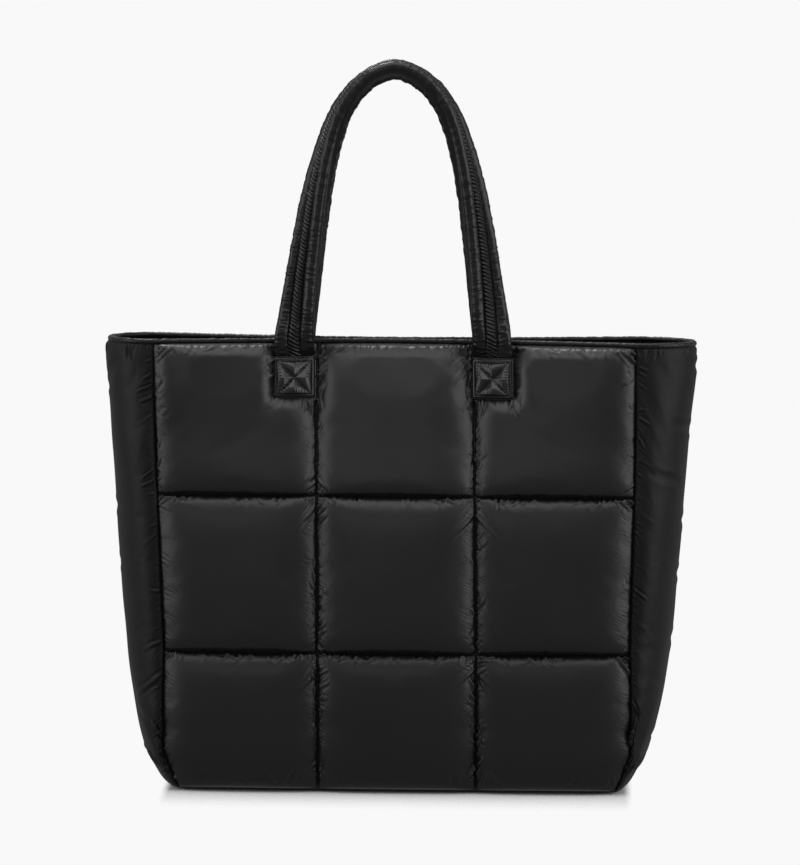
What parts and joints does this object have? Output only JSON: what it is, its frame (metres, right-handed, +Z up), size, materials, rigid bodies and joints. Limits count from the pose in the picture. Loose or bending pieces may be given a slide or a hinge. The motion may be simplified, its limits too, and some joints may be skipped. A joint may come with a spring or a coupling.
{
  "type": "puffer tote bag",
  "caption": "Open-topped padded tote bag with quilted faces, plain padded sides, a bound rim and tall twisted strap handles.",
  "frame": {"origin": "on the floor under the middle of the bag, at the bottom centre of its box", "axes": "+Z up along the handles, -Y towards the front face, +X to the right of someone who looks at the front"},
  "size_m": [0.4686, 0.1662, 0.5664],
  "materials": {
    "quilted_nylon": "glossy black nylon, padded and quilted",
    "strap_nylon": "glossy black nylon, padded in three channels",
    "patch_nylon": "black nylon, stitched flat",
    "binding_nylon": "glossy black nylon, folded over the edge"
  },
  "bodies": {
    "root": {"front_panel": "quilted_nylon", "front_handle": "strap_nylon", "front_patch_right": "patch_nylon", "front_patch_left": "patch_nylon", "back_panel": "quilted_nylon", "back_handle": "strap_nylon", "back_patch_right": "patch_nylon", "back_patch_left": "patch_nylon", "right_side": "quilted_nylon", "left_side": "quilted_nylon", "base": "quilted_nylon", "rim_binding": "binding_nylon"}
  },
  "joints": []
}
